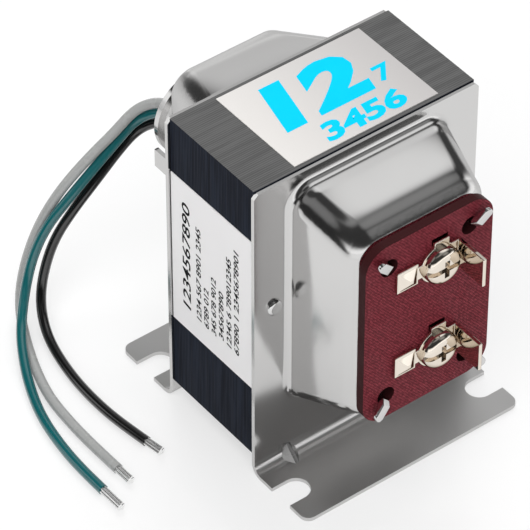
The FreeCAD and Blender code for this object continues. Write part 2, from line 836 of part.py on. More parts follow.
TAPE_OUT = f"{WINDING_OUT} + winding_clearance + tape"
named(
    "thermal_cutoff",
    rod(
        "ThermalCutoff",
        (
            f"{CHAMBERS['primary']} + cutoff_margin",
            f"{TAPE_OUT} + cutoff_radius + winding_clearance",
            f"{CORE_MIDDLE} + {WINDING_RISE} - cutoff_drop",
        ),
        "cutoff_radius",
        f"{CHAMBER} - 2 * cutoff_margin",
        Vector(1, 0, 0),
    ),
)


# Bushing in the neck, and the leads' stretches behind it

bushing = new_body("lead_bushing")
sketch = new_sketch(bushing, "XZ_Plane", f"-({LEAD_FACE})")
draw_circle(sketch, "0", NECK_HEIGHT, "neck_radius - steel - bushing_clearance")
for level in LEAD_LEVELS:
    draw_circle(sketch, "lead_side", level, "lead_radius + lead_clearance")
pad(bushing, sketch, "bushing_length")

grouped(
    "inner_leads",
    [
        rod(
            f"InnerLead{index}",
            ("lead_side", f"{LEAD_FACE} - inner_lead_length", level),
            "lead_radius",
            "inner_lead_length",
        )
        for index, level in enumerate(LEAD_LEVELS)
    ],
)
grouped(
    "splice_sleeves",
    [
        rod(
            f"SpliceSleeve{index}",
            ("lead_side", f"{LEAD_FACE} - inner_lead_length - sleeve_length", level),
            "sleeve_radius",
            "sleeve_length",
        )
        for index, level in enumerate(LEAD_LEVELS)
    ],
)


# Terminal board

board = new_body("terminal_board")
sketch = new_sketch(board, "XZ_Plane", BOARD_BACK)
draw_rounded(sketch, f"-{BOARD_SIDE}", BOARD_SIDE, BOARD_BOTTOM, BOARD_TOP, "board_corner")
for side in (-1, 1):
    for level in TAB_LEVELS:
        draw_circle(sketch, f"{side} * {TAB_PLACE}", level, "tab_hole")
for level in SCREW_LEVELS.values():
    draw_circle(sketch, "screw_side", level, "screw_radius + screw_clearance")
    slot_low = f"{level} + plate_round"
    left, right = f"{TAIL_LEFT} - tail_clearance", f"{TAIL_LEFT} + tail_width + tail_clearance"
    draw_polygon(
        sketch,
        [
            (left, slot_low),
            (right, slot_low),
            (right, f"{slot_low} + tail_slot"),
            (left, f"{slot_low} + tail_slot"),
        ],
    )
pad(board, sketch, "board_thickness")


# Screw terminals: stamped plate, screw and the winding's tail behind each


def terminal(label, level):
    """Returns a stamped terminal: pad with a raised stud, round seat, ear and tab."""
    top = f"-({BOARD_FACE})"
    left = "screw_side - pad_left"

    def flat(part, start, size, low, high):
        name = f"{label}_{part}"
        return box(name, (start, f"{top} - plate", low), (size, "plate", f"{high} - ({low})"))

    pieces = [
        flat("pad", left, "pad_size", f"{level} - pad_size / 2", f"{level} + pad_size / 2"),
        flat("neck", left, "pad_left", f"{level} - pad_neck / 2", f"{level} + pad_neck / 2"),
        flat(
            "shoulder", "screw_side", "ear_place + plate",
            f"{level} - ear_height / 2", f"{level} + ear_height / 2",
        ),
        rod(f"{label}_seat", ("screw_side", f"{top} - plate", level), "plate_round", "plate"),
        box(
            f"{label}_ear",
            ("screw_side + ear_place", f"{top} - plate - ear_length", f"{level} - ear_height / 2"),
            ("plate", "plate + ear_length", "ear_height"),
        ),
        flat("step", TAIL_LEFT, "tail_width", level, f"{level} + plate_round + tail_clearance + plate"),
        box(
            f"{label}_tab",
            (TAIL_LEFT, f"{top} - plate", f"{level} + plate_round + tail_clearance"),
            ("tail_width", "plate + tail_length", "plate"),
        ),
    ]
    stud = doc.addObject("Part::Wedge", f"{label}_stud")
    stud.Placement = FreeCAD.Placement(Vector(), FreeCAD.Rotation(UP, 180))
    locate(stud, f"{left} + pad_size / 2", f"{top} - plate", level)
    half, crest = "stud_size / 2", "stud_crest / 2"
    bind(
        stud,
        Xmin=f"-({half})", Xmax=half, Zmin=f"-({half})", Zmax=half,
        X2min=f"-({crest})", X2max=crest, Z2min=f"-({crest})", Z2max=crest,
        Ymax="stud_height",
    )
    pieces.append(stud)
    hole = rod(
        f"{label}_hole",
        ("screw_side", f"{top} - 3 * plate", level),
        "screw_radius + screw_clearance",
        "6 * plate",
    )
    return named(label, less(f"{label}_solid", fused(f"{label}_blank", pieces), hole))


def terminal_screw(label, level):
    """Returns a binding head screw: domed head with a slot crossed by a shorter one."""
    body = new_body(label)
    sketch = new_sketch(body, "XY_Plane")
    draw_polygon(
        sketch,
        [
            ("0", "-head_height"),
            ("head_radius", "-head_height"),
            ("head_radius", "0"),
            ("screw_radius", "0"),
            ("screw_radius", "screw_length"),
            ("0", "screw_length"),
        ],
    )
    blank = turn(body, sketch)
    crown, radius = -value("head_height"), value("head_radius")
    fillet(body, blank, lambda edge: is_rim(edge, radius, crown), "head_round")
    for across, along in (("2 * head_radius", "slot_cut / 2"), ("slot_cut / 2", "head_radius / 2")):
        cut = new_sketch(body, "XZ_Plane", "head_height")
        draw_polygon(
            cut,
            [
                (f"-({across})", f"-({along})"),
                (across, f"-({along})"),
                (across, along),
                (f"-({across})", along),
            ],
        )
        pocket(body, cut, "slot_sink")
    locate(body, "screw_side", f"-({BOARD_FACE}) - plate", level)


def secondary_tail(name, level, start):
    """Returns the enamelled tail from the winding to the underside of a terminal's tab."""
    tab_end = f"{BOARD_FACE} - tail_length"
    height = f"{level} + plate_round + tail_clearance - wire_radius"
    return rod(
        f"{name}_tail",
        ("screw_side + tail_place", f"-({tab_end}) - wire_overlap", height),
        "wire_radius",
        f"{tab_end} + wire_overlap - ({start})",
    )


TAIL_STARTS = {"upper": f"{TAPE_OUT} - wire_inset", "lower": f"{TAPE_OUT} + winding_clearance"}
tails = []
for name, level in SCREW_LEVELS.items():
    terminal(f"{name}_terminal", level)
    terminal_screw(f"{name}_screw", level)
    tails.append(secondary_tail(name, level, TAIL_STARTS[name]))
grouped("secondary_tails", tails)


# Labels on the core's side and top

named(
    "side_label",
    box(
        "SideLabel",
        (
            "-core_width / 2 - label",
            "side_label_margin - stack_depth / 2",
            "core_bottom + side_label_rise",
        ),
        (
            "label",
            "stack_depth - 2 * side_label_margin",
            "core_height - side_label_rise - side_label_drop",
        ),
    ),
)
named(
    "top_label",
    box(
        "TopLabel",
        ("top_label_left - core_width / 2", "top_label_margin - stack_depth / 2", CORE_TOP),
        (
            "core_width - top_label_left - top_label_right",
            "stack_depth - 2 * top_label_margin",
            "label",
        ),
    ),
)


# Free leads


def rounded_path(points):
    """Returns runs joined by tangent arcs as one wire, its length and its arcs' radii."""
    edges, radii = [], []
    start = points[0]
    for before, corner, after in zip(points, points[1:], points[2:]):
        arriving, leaving = corner - before, after - corner
        half_turn = arriving.getAngle(leaving) / 2
        cut = 0.45 * min(arriving.Length, leaving.Length)
        radii.append(cut / math.tan(half_turn))
        first = corner - arriving.normalize() * cut
        last = corner + leaving.normalize() * cut
        inward = (first + last) * 0.5 - corner
        depth = radii[-1] * (1 / math.cos(half_turn) - 1)
        middle = corner + inward.normalize() * depth
        edges.append(Part.LineSegment(start, first).toShape())
        edges.append(Part.Arc(first, middle, last).toShape())
        start = last
    edges.append(Part.LineSegment(start, points[-1]).toShape())
    return Part.Wire(edges), sum(edge.Length for edge in edges), radii


def fitted(route, level):
    """Returns the route's points, moved with the bushing and with the height of the lead's hole."""
    floor = value("lead_radius")
    first = Vector(*route[0])
    move = Vector(value("lead_side"), value_of(LEAD_FACE), 0) - Vector(first.x, first.y, 0)
    share = (value_of(level) - floor) / (first.z - floor)
    return [Vector(x, y, floor + (z - floor) * share) + move for x, y, z in route]


def free_lead(label, points):
    """Makes a lead's insulation along its route and the tinned strands at its end."""
    path, length, radii = rounded_path(points)
    radius = value("lead_radius")
    heading = points[1] - points[0]
    section = Part.Wire([Part.makeCircle(radius, points[0], heading)])
    tube = path.makePipeShell([section], True, True)
    shaped(label, tube)
    expected = math.pi * radius**2 * length
    print(label, f"length {length:.1f}", "radii", " ".join(f"{size:.1f}" for size in radii))
    print(label, f"volume {tube.Volume:.1f} of {expected:.1f}")
    tip = label.replace("lead", "tip")
    strands = Part.makeCylinder(
        value("tip_radius"), value(tip + "_length"), points[-1], points[-1] - points[-2]
    )
    shaped(tip, strands)


for (label, route), level in zip(ROUTES.items(), LEAD_LEVELS):
    free_lead(label, fitted(route, level))


# Check and export

NODES = """
front_frame rear_frame e_laminations i_laminations core_rivets bobbin primary_winding
secondary_winding primary_wrap secondary_wrap thermal_cutoff lead_bushing inner_leads
splice_sleeves terminal_board upper_terminal lower_terminal upper_screw lower_screw
secondary_tails side_label top_label white_lead green_lead black_lead white_tip green_tip
black_tip
""".split()

doc.recompute()
for item in doc.Objects:
    if "Invalid" in item.State or "Error" in item.State:
        raise RuntimeError(f"{item.Label} failed: {item.State}")
sub_parts = {label: doc.getObjectsByLabel(label)[0] for label in NODES}
for label, item in sub_parts.items():
    if item.Shape.isNull() or not item.Shape.isValid() or not item.Shape.Solids:
        raise RuntimeError(f"{label} has no valid shape")
os.makedirs("parts", exist_ok=True)
for label, item in sub_parts.items():
    item.Shape.exportStep(f"parts/{label}.step")
    print(label, len(item.Shape.Solids), f"{item.Shape.Volume:.1f}")
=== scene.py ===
"""Dresses the doorbell transformer: pressings, laminated core, terminal board, labels and leads.

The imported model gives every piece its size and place. Lengths are in metres, in the model's own
frame: +Z is up, the terminal board faces -Y and the leads leave at +Y.
"""

import json
import logging
import math
from dataclasses import dataclass, field
from enum import Enum

import bmesh
import bpy
from mathutils import Matrix, Vector

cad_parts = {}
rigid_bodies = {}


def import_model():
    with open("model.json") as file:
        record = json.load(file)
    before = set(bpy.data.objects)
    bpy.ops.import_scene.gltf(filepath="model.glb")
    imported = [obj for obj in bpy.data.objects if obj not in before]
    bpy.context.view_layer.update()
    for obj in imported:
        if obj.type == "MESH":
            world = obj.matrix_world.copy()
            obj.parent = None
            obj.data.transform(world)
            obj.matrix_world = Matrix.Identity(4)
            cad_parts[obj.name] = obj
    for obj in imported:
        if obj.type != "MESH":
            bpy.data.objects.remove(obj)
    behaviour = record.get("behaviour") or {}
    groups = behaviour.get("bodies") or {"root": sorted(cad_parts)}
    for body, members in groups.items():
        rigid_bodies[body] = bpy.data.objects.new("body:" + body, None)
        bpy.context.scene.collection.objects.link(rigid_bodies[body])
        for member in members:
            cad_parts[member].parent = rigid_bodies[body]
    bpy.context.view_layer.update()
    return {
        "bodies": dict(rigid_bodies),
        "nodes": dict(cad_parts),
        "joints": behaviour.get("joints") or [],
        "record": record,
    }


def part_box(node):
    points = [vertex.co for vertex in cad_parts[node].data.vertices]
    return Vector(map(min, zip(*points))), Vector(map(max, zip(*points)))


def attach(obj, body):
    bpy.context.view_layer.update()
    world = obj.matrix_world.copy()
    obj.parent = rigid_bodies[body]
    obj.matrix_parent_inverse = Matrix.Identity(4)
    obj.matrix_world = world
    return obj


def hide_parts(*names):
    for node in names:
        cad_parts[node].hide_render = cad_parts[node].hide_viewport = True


LOG = logging.getLogger("doorbell_transformer")
BODY = "root"
MM = 0.001

# Vertices nearer than this are one, and faces that turn by less than this are one flat face.
MERGE_WITHIN = 0.001 * MM
FLAT_WITHIN = math.radians(0.5)

# The length of one band of a wave texture whose scale is 1.
WAVE_PERIOD = 0.314

Socket = bpy.types.NodeSocket
Colour = tuple[float, float, float]
Stops = tuple[tuple[float, float], ...]


# Node graphs


class Direction(Enum):
    """An axis of the model, as the name of its socket on a Separate XYZ node."""

    ACROSS = "X"
    OUTWARD = "Y"
    UP = "Z"


class Graph:
    """A node tree, with short calls for the nodes that materials and world share."""

    def __init__(self, tree: bpy.types.NodeTree) -> None:
        """Keeps the tree.

        Args:
            tree: The node tree of a material or of the world.
        """
        self.nodes = tree.nodes
        self.links = tree.links

    def add(self, kind: str, **values: object) -> bpy.types.Node:
        """Adds a node.

        Args:
            kind: The node's type, without its ShaderNode prefix.
            **values: Properties of the node, or values of its inputs, with _ for a space.

        Returns:
            The new node.
        """
        node = self.nodes.new("ShaderNode" + kind)
        for key, value in values.items():
            if hasattr(node, key):
                setattr(node, key, value)
            else:
                node.inputs[key.replace("_", " ")].default_value = value
        return node

    def join(self, source: Socket, target: Socket) -> None:
        """Links an output to an input."""
        self.links.new(source, target)

    def feed(self, value: object, target: Socket) -> None:
        """Links a socket to an input, or sets the input to a plain value.

        Args:
            value: The socket or the value.
            target: The input.
        """
        if isinstance(value, Socket):
            self.join(value, target)
        else:
            target.default_value = value

    def calculate(self, operation: str, *values: float | Socket) -> Socket:
        """Adds a Math node.

        Args:
            operation: The node's operation.
            *values: What it works on, numbers or sockets.

        Returns:
            Its result.
        """
        node = self.add("Math", operation=operation)
        for socket, value in zip(node.inputs, values):
            self.feed(value, socket)
        return node.outputs[0]

    def split(self, vector: Socket) -> bpy.types.NodeOutputs:
        """Splits a vector.

        Args:
            vector: The vector.

        Returns:
            Its three parts, by the names X, Y and Z.
        """
        node = self.add("SeparateXYZ")
        self.join(vector, node.inputs[0])
        return node.outputs

    def steps(self, source: Socket, stops: Stops) -> Socket:
        """Puts a value through a curve of straight runs.

        Args:
            source: A value between 0 and 1.
            stops: Pairs of a place on the curve and the level there.

        Returns:
            The level, as a grey.
        """
        ramp = self.add("ValToRGB")
        elements = ramp.color_ramp.elements
        while len(elements) < len(stops):
            elements.new(0.5)
        for element, (position, level) in zip(elements, stops):
            element.position = position
            element.color = (level, level, level, 1)
        self.join(source, ramp.inputs["Fac"])
        return ramp.outputs["Color"]

    def blend(self, factor: Socket, first: Colour | Socket, second: Colour | Socket) -> Socket:
        """Blends two colours.

        Args:
            factor: How far toward the second, from 0 to 1.
            first: The first colour.
            second: The second colour.

        Returns:
            The colour between them.
        """
        mix = self.add("Mix", data_type="RGBA")
        self.join(factor, mix.inputs["Factor"])
        targets = (socket for socket in mix.inputs if socket.type == "RGBA")
        for target, value in zip(targets, (first, second)):
            self.feed(value if isinstance(value, Socket) else (*value, 1), target)
        return next(socket for socket in mix.outputs if socket.type == "RGBA")


class MaterialGraph(Graph):
    """The node graph of one material, with calls for what the finishes share."""

    def __init__(self, name: str) -> None:
        """Starts a material that has only its shader and its output.

        Args:
            name: The material's name.
        """
        self.material = bpy.data.materials.new(name)
        self.material.use_nodes = True
        super().__init__(self.material.node_tree)
        self.shader = self.nodes["Principled BSDF"]

    def point(self) -> Socket:
        """Returns the point in the model's frame."""
        return self.add("TexCoord").outputs["Object"]

    def stretched(self, scale: tuple[float, float, float]) -> Socket:
        """Stretches the point in the model's frame.

        Args:
            scale: The scale along each axis.

        Returns:
            The stretched point.
        """
        mapping = self.add("Mapping", Scale=scale)
        self.join(self.point(), mapping.inputs["Vector"])
        return mapping.outputs["Vector"]

    def noise(self, scale: float | tuple[float, float, float], detail: float = 3.0) -> Socket:
        """Adds a noise between 0 and 1.

        Args:
            scale: About how many features it has a metre, in all or along each axis.
            detail: How many finer layers it has.

        Returns:
            The noise.
        """
        node = self.add("TexNoise", Scale=1.0, Detail=detail)
        along = scale if isinstance(scale, tuple) else (scale, scale, scale)
        self.join(self.stretched(along), node.inputs["Vector"])
        return node.outputs["Fac"]

    def wave(
        self, vector: Socket, direction: Direction, period: float, distortion: float
    ) -> Socket:
        """Adds bands between 0 and 1.

        Args:
            vector: The point that the bands are laid through.
            direction: The axis that they follow one another along.
            period: The length of one band.
            distortion: How far they wander.

        Returns:
            The bands.
        """
        node = self.add(
            "TexWave",
            bands_direction=direction.value,
            Scale=WAVE_PERIOD / period,
            Distortion=distortion,
            Detail=2.0,
        )
        self.join(vector, node.inputs["Vector"])
        return node.outputs["Fac"]

    def facing(self, direction: Direction) -> Socket:
        """Returns how squarely the surface faces along an axis, whichever way, from 0 to 1."""
        normal = self.split(self.add("NewGeometry").outputs["Normal"])
        return self.calculate("ABSOLUTE", normal[direction.value])

    def colour(self, value: Socket) -> None:
        """Gives the surface its colour."""
        self.join(value, self.shader.inputs["Base Color"])

    def haze(self, source: Socket, low: float, high: float) -> Socket:
        """Returns a roughness between two levels, as it follows a value between 0 and 1."""
        return self.steps(source, ((0.3, low), (0.7, high)))

    def rough(self, value: Socket) -> None:
        """Gives the surface its roughness."""
        self.join(value, self.shader.inputs["Roughness"])

    def relief(self, height: Socket, depth: float, strength: float) -> bpy.types.Node:
        """Gives the surface a relief.

        Args:
            height: A value between 0 and 1.
            depth: How deep the relief is.
            strength: How much of it shows.

        Returns:
            The node that makes it.
        """
        bump = self.add("Bump", Strength=strength, Distance=depth)
        self.join(height, bump.inputs["Height"])
        self.join(bump.outputs["Normal"], self.shader.inputs["Normal"])
        return bump

    def constant(self, **values: object) -> None:
        """Sets plain values on the shader's own sockets, with _ for a space."""
        for key, value in values.items():
            self.shader.inputs[key.replace("_", " ")].default_value = value


# Finishes


def darker(colour: Colour, share: float) -> Colour:
    """Returns a share of a colour."""
    return tuple(share * level for level in colour)


@dataclass(frozen=True)
class Finish:
    """The look of a piece, under the name of its material."""

    name: str

    def make(self) -> bpy.types.Material:
        """Makes the finish's material.

        Returns:
            The material.
        """
        graph = MaterialGraph(self.name)
        self.shade(graph)
        return graph.material

    def shade(self, graph: MaterialGraph) -> None:
        """Fills in the material.

        Args:
            graph: The material's graph.
        """
        raise NotImplementedError


@dataclass(frozen=True)
class Crown:
    """How the walls of the drawn bells swell, as a lean of their normals toward the walls' ends.

    Depth is the distance from the middle of the core. The lean starts over a short rim, and there
    is none below the foot's level.
    """

    start: float = 16.8 * MM
    end: float = 30.4 * MM
    foot: float = 8.0 * MM
    inner_rim: float = 0.8 * MM
    outer_rim: float = 2.4 * MM
    half_width: float = 19.5 * MM
    half_height: float = 24.5 * MM
    middle_height: float = 39.5 * MM
    middle_depth: float = 19.5 * MM
    half_depth: float = 8.5 * MM
    lean_across: float = 0.42
    lean_out: float = 0.80
    lean_up: float = 0.15
    rear_share: float = 0.12

    @staticmethod
    def swell(
        graph: MaterialGraph, place: Socket, middle: float, half: float, lean: float
    ) -> Socket:
        """Works out how far a wall leans over at a place along it.

        Args:
            graph: The steel's graph.
            place: The place along the wall.
            middle: The wall's middle, where it doesn't lean.
            half: The distance from there to its ends.
            lean: How far it leans at its ends.

        Returns:
            The lean.
        """
        share = graph.calculate("DIVIDE", graph.calculate("SUBTRACT", place, middle), half)
        limited = graph.calculate("MAXIMUM", graph.calculate("MINIMUM", share, 1.0), -1.0)
        return graph.calculate("MULTIPLY", graph.calculate("POWER", limited, 3.0), lean)

    @staticmethod
    def past(
        graph: MaterialGraph, start: float | Socket, place: float | Socket, rim: float
    ) -> Socket:
        """Returns how many rims a place lies past a start."""
        return graph.calculate("DIVIDE", graph.calculate("SUBTRACT", place, start), rim)

    def within(self, graph: MaterialGraph, depth: Socket, height: Socket) -> Socket:
        """Marks the walls of the bells.

        Args:
            graph: The steel's graph.
            depth: The point's distance from the middle of the core.
            height: The point's height.

        Returns:
            1 on the walls and 0 away from them.
        """
        inner = self.past(graph, self.start, depth, self.inner_rim)
        outer = self.past(graph, depth, self.end, self.outer_rim)
        above = self.past(graph, self.foot, height, self.inner_rim)
        nearest = graph.calculate("MINIMUM", graph.calculate("MINIMUM", inner, outer), above)
        return graph.calculate("MINIMUM", graph.calculate("MAXIMUM", nearest, 0.0), 1.0)

    def lean(self, graph: MaterialGraph, place: bpy.types.NodeOutputs, depth: Socket) -> Socket:
        """Works out what is added to the normal.

        Args:
            graph: The steel's graph.
            place: The point in the model's frame, by its parts.
            depth: The point's distance from the middle of the core.

        Returns:
            The lean, as a vector.
        """
        across = self.swell(graph, place["X"], 0.0, self.half_width, self.lean_across)
        out = self.swell(graph, depth, self.middle_depth, self.half_depth, self.lean_out)
        up = self.swell(graph, place["Z"], self.middle_height, self.half_height, self.lean_up)
        facing_up = graph.facing(Direction.UP)
        facing_across = graph.facing(Direction.ACROSS)
        bell = graph.calculate("MINIMUM", graph.calculate("SIGN", place["Y"]), self.rear_share)
        vector = graph.add("CombineXYZ")
        graph.join(graph.calculate("MULTIPLY", across, facing_up), vector.inputs["X"])
        out = graph.calculate("MULTIPLY", out, facing_up)
        graph.join(graph.calculate("MULTIPLY", out, bell), vector.inputs["Y"])
        graph.join(graph.calculate("MULTIPLY", up, facing_across), vector.inputs["Z"])
        return vector.outputs[0]

    def normal(self, graph: MaterialGraph) -> Socket:
        """Leans the normal outward toward the ends of a bell's walls.

        Args:
            graph: The steel's graph.

        Returns:
            The surface's normal.
        """
        place = graph.split(graph.point())
        depth = graph.calculate("ABSOLUTE", place["Y"])
        scaled = graph.add("VectorMath", operation="SCALE")
        graph.join(self.lean(graph, place, depth), scaled.inputs[0])
        graph.join(self.within(graph, depth, place["Z"]), scaled.inputs["Scale"])
        total = graph.add("VectorMath", operation="ADD")
        graph.join(graph.add("NewGeometry").outputs["Normal"], total.inputs[0])
        graph.join(scaled.outputs[0], total.inputs[1])
        unit = graph.add("VectorMath", operation="NORMALIZE")
        graph.join(total.outputs[0], unit.inputs[0])
        return unit.outputs[0]


@dataclass(frozen=True)
class Plating(Finish):
    """Bright plating over sheet metal, with a faint grain and slight haze.

    The glance is what is left of its shine where it is seen at a glancing angle. Wear makes it
    rougher toward the floor, where feet are rubbed.
    """

    colour: Colour
    shine: tuple[float, float] = (0.12, 0.17)
    glance: Colour = (0.62, 0.62, 0.62)
    wear: float = 0.0
    crown: Crown | None = None
    worn_below: float = 4.0 * MM
    dark_share: float = 0.95
    patches: float = 60.0
    haze: float = 80.0
    grain: float = 250.0
    grain_depth: float = 0.0004 * MM

    def shade(self, graph: MaterialGraph) -> None:
        """Fills in the material.

        Args:
            graph: The material's graph.
        """
        patches = graph.noise(self.patches, detail=4.0)
        graph.colour(graph.blend(patches, darker(self.colour, self.dark_share), self.colour))
        roughness = graph.haze(graph.noise(self.haze), *self.shine)
        graph.rough(self.worn(graph, roughness) if self.wear else roughness)
        grain = graph.noise(self.grain, detail=1.0)
        bump = graph.relief(grain, self.grain_depth, strength=0.4)
        if self.crown:
            graph.join(self.crown.normal(graph), bump.inputs["Normal"])
        graph.constant(Metallic=1.0, Specular_Tint=(*self.glance, 1))

    def worn(self, graph: MaterialGraph, roughness: Socket) -> Socket:
        """Adds the wear.

        Args:
            graph: The material's graph.
            roughness: The roughness without it.

        Returns:
            The roughness with it.
        """
        height = graph.split(graph.point())["Z"]
        share = graph.calculate("DIVIDE", height, self.worn_below)
        share = graph.calculate("SUBTRACT", 1.0, graph.calculate("MINIMUM", share, 1.0))
        return graph.calculate("MULTIPLY_ADD", share, self.wear, roughness)


@dataclass(frozen=True)
class Laminated(Finish):
    """Varnished edges of thin steel sheets, stacked along Y, with the top painted a lighter grey:
    painted light, for the light that falls on the top.
    """

    side: Colour = (0.016, 0.021, 0.034)
    side_gap: Colour = (0.006, 0.007, 0.012)
    # The top's colours are painted light: the same sheet edges as the sides, painted lighter
    # where light falls from above.
    top: Colour = (0.124, 0.124, 0.124)
    lit_top_gap: Colour = (0.084, 0.084, 0.084)
    sheet: float = 0.5 * MM
    stretch: tuple[float, float, float] = (0.1, 1, 0.1)
    wander: float = 0.6
    band_share: float = 0.35
    breaks: float = 60.0
    haze: float = 40.0
    relief: float = 0.03 * MM
    shine: tuple[float, float] = (0.45, 0.6)
    gloss: float = 0.03

    def shade(self, graph: MaterialGraph) -> None:
        """Fills in the material.

        Args:
            graph: The material's graph.
        """
        along = graph.stretched(self.stretch)
        bands = graph.wave(along, Direction.OUTWARD, self.sheet, self.wander)
        lines = graph.noise((self.breaks, 0.5 / self.sheet, self.breaks))
        lines = graph.calculate("MULTIPLY_ADD", bands, self.band_share, lines)
        edge = graph.steps(lines, ((0.50, 0), (0.80, 1)))
        # Faces that look up get the lighter top colours: painted light on the top of the stack.
        upper = graph.steps(graph.facing(Direction.UP), ((0.4, 0), (0.6, 1)))
        side = graph.blend(edge, self.side_gap, self.side)
        top = graph.blend(edge, self.lit_top_gap, self.top)
        graph.colour(graph.blend(upper, side, top))
        haze = graph.noise((self.haze, 1 / self.sheet, self.haze))
        graph.rough(graph.haze(haze, *self.shine))
        graph.relief(edge, self.relief, strength=0.35)
        graph.constant(Specular_IOR_Level=self.gloss)


@dataclass(frozen=True)
class FibreSheet(Finish):
    """Dark red pressed fibre with a fine cloth texture and darker sawn edges."""

    face: Colour = (0.350, 0.053, 0.073)
    thread: Colour = (0.060, 0.006, 0.010)
    edge: Colour = (0.034, 0.008, 0.009)
    pitch: float = 0.5 * MM
    slant: float = 0.7
    wander: float = 2.4
    specks: float = 1700.0
    patches: float = 300.0
    relief: float = 0.05 * MM
    shine: tuple[float, float] = (0.4, 0.55)
    gloss: float = 0.06

    def weave(self, graph: MaterialGraph) -> Socket:
        """Weaves the cloth.

        Args:
            graph: The material's graph.

        Returns:
            The height of its threads, from 0 to 1.
        """
        turned = graph.add("Mapping", Rotation=(0, self.slant, 0))
        graph.join(graph.point(), turned.inputs["Vector"])
        threads = (
            graph.wave(turned.outputs[0], direction, self.pitch, self.wander)
            for direction in (Direction.ACROSS, Direction.UP)
        )
        cloth = graph.calculate("MULTIPLY", graph.calculate("ADD", *threads), 0.5)
        specks = graph.noise(self.specks, detail=1.0)
        return graph.calculate("MULTIPLY", cloth, graph.steps(specks, ((0.38, 0.35), (0.62, 1))))

    def shade(self, graph: MaterialGraph) -> None:
        """Fills in the material.

        Args:
            graph: The material's graph.
        """
        height = self.weave(graph)
        front = graph.steps(graph.facing(Direction.OUTWARD), ((0.5, 0), (0.8, 1)))
        graph.colour(graph.blend(front, self.edge, graph.blend(height, self.thread, self.face)))
        graph.rough(graph.haze(graph.noise(self.patches), *self.shine))
        graph.relief(height, self.relief, strength=0.5)
        graph.constant(Specular_IOR_Level=self.gloss)


@dataclass(frozen=True)
class Moulding(Finish):
    """Moulded or extruded plastic, or ink, with a faint unevenness."""

    colour: Colour
    shine: tuple[float, float] = (0.3, 0.45)
    coat: float = 0.0
    gloss: float = 0.5
    coat_roughness: float = 0.12
    dark_share: float = 0.93
    patches: float = 150.0
    haze: float = 500.0
    grain: float = 700.0
    unevenness: float = 0.01 * MM

    def shade(self, graph: MaterialGraph) -> None:
        """Fills in the material.

        Args:
            graph: The material's graph.
        """
        patches = graph.noise(self.patches)
        graph.colour(graph.blend(patches, darker(self.colour, self.dark_share), self.colour))
        graph.rough(graph.haze(graph.noise(self.haze), *self.shine))
        graph.relief(graph.noise(self.grain), self.unevenness, strength=0.4)
        graph.constant(
            Coat_Weight=self.coat,
            Coat_Roughness=self.coat_roughness,
            Specular_IOR_Level=self.gloss,
        )


@dataclass(frozen=True)
class Film(Finish):
    """Label film whose colour runs from one side, along X, to the other."""

    near: Colour
    far: Colour
    span: tuple[float, float] = (-16.0 * MM, 18.0 * MM)
    haze: float = 400.0
    grain: float = 120.0
    unevenness: float = 0.02 * MM
    shine: tuple[float, float] = (0.28, 0.4)
    gloss: float = 0.2

    def shade(self, graph: MaterialGraph) -> None:
        """Fills in the material.

        Args:
            graph: The material's graph.
        """
        share = graph.add("MapRange", From_Min=self.span[0], From_Max=self.span[1])
        graph.join(graph.split(graph.point())["X"], share.inputs["Value"])
        graph.colour(graph.blend(share.outputs["Result"], self.near, self.far))
        graph.rough(graph.haze(graph.noise(self.haze), *self.shine))
        graph.relief(graph.noise(self.grain), self.unevenness, strength=0.25)
        graph.constant(Specular_IOR_Level=self.gloss)


@dataclass(frozen=True)
class Winding(Finish):
    """Turns of enamelled wire, side by side along X, painted darker toward the grooves between
    turns as painted shade.
    """

    colour: Colour
    dark_share: float = 0.5
    turn: float = 0.628 * MM
    wander: float = 0.1
    depth: float = 0.1 * MM
    haze: float = 200.0
    shine: tuple[float, float] = (0.25, 0.4)
    metal: float = 0.8

    def shade(self, graph: MaterialGraph) -> None:
        """Fills in the material.

        Args:
            graph: The material's graph.
        """
        turns_and_groove_shade = graph.wave(graph.point(), Direction.ACROSS, self.turn, self.wander)
        # Each turn is painted darker toward its grooves: painted shade where the turns meet.
        graph.colour(graph.blend(turns_and_groove_shade, darker(self.colour, self.dark_share), self.colour))
        graph.rough(graph.haze(graph.noise(self.haze), *self.shine))
        graph.relief(turns_and_groove_shade, self.depth, strength=0.7)
        graph.constant(Metallic=self.metal)


STEEL = Plating("bright_steel", (0.66, 0.655, 0.65), wear=0.28, crown=Crown())
RIVET = Plating("rivet_steel", (0.72, 0.72, 0.715), (0.05, 0.10))
# The dark brown glance on the nickel is painted reflection and shade. At glancing angles it
# darkens the screws and plates toward the brown of the board mirrored in them and the shade in
# their recesses.
NICKEL = Plating("bright_nickel", (0.84, 0.77, 0.68), (0.04, 0.08), (0.20, 0.15, 0.11))
TINNED = Plating("tinned_copper", (0.95, 0.95, 0.945), (0.20, 0.28), (1.0, 1.0, 1.0))
LAMINATIONS = Laminated("laminations")
FIBRE = FibreSheet("red_fibre")
NYLON = Moulding("bobbin_nylon", (0.72, 0.70, 0.62))
TAPE = Moulding("winding_tape", (0.70, 0.42, 0.06), (0.15, 0.3))
BLACK_MOULDING = Moulding("bushing_black", (0.014, 0.014, 0.015), (0.35, 0.5))
WHITE_COVER = Moulding("white_insulation", (0.38, 0.385, 0.38), (0.2, 0.3), 0.4)
GREEN_COVER = Moulding("green_insulation", (0.004, 0.110, 0.120), (0.15, 0.22), 0.8)
BLACK_COVER = Moulding("black_insulation", (0.004, 0.004, 0.004), (0.12, 0.20), 0.8)
WIRE = Winding("copper_wire", (0.62, 0.24, 0.10))
WHITE_FILM = Film("white_film", (0.86, 0.85, 0.855), (0.86, 0.85, 0.855))
SILVER_FILM = Film("silver_film", (0.68, 0.66, 0.64), (0.47, 0.455, 0.45))
DARK_INK = Moulding("dark_ink", (0.012, 0.012, 0.013), (0.6, 0.7), gloss=0.05)
CYAN_INK = Moulding("cyan_ink", (0.0, 0.60, 0.92), (0.45, 0.55), gloss=0.05)


# Shared tools for pieces


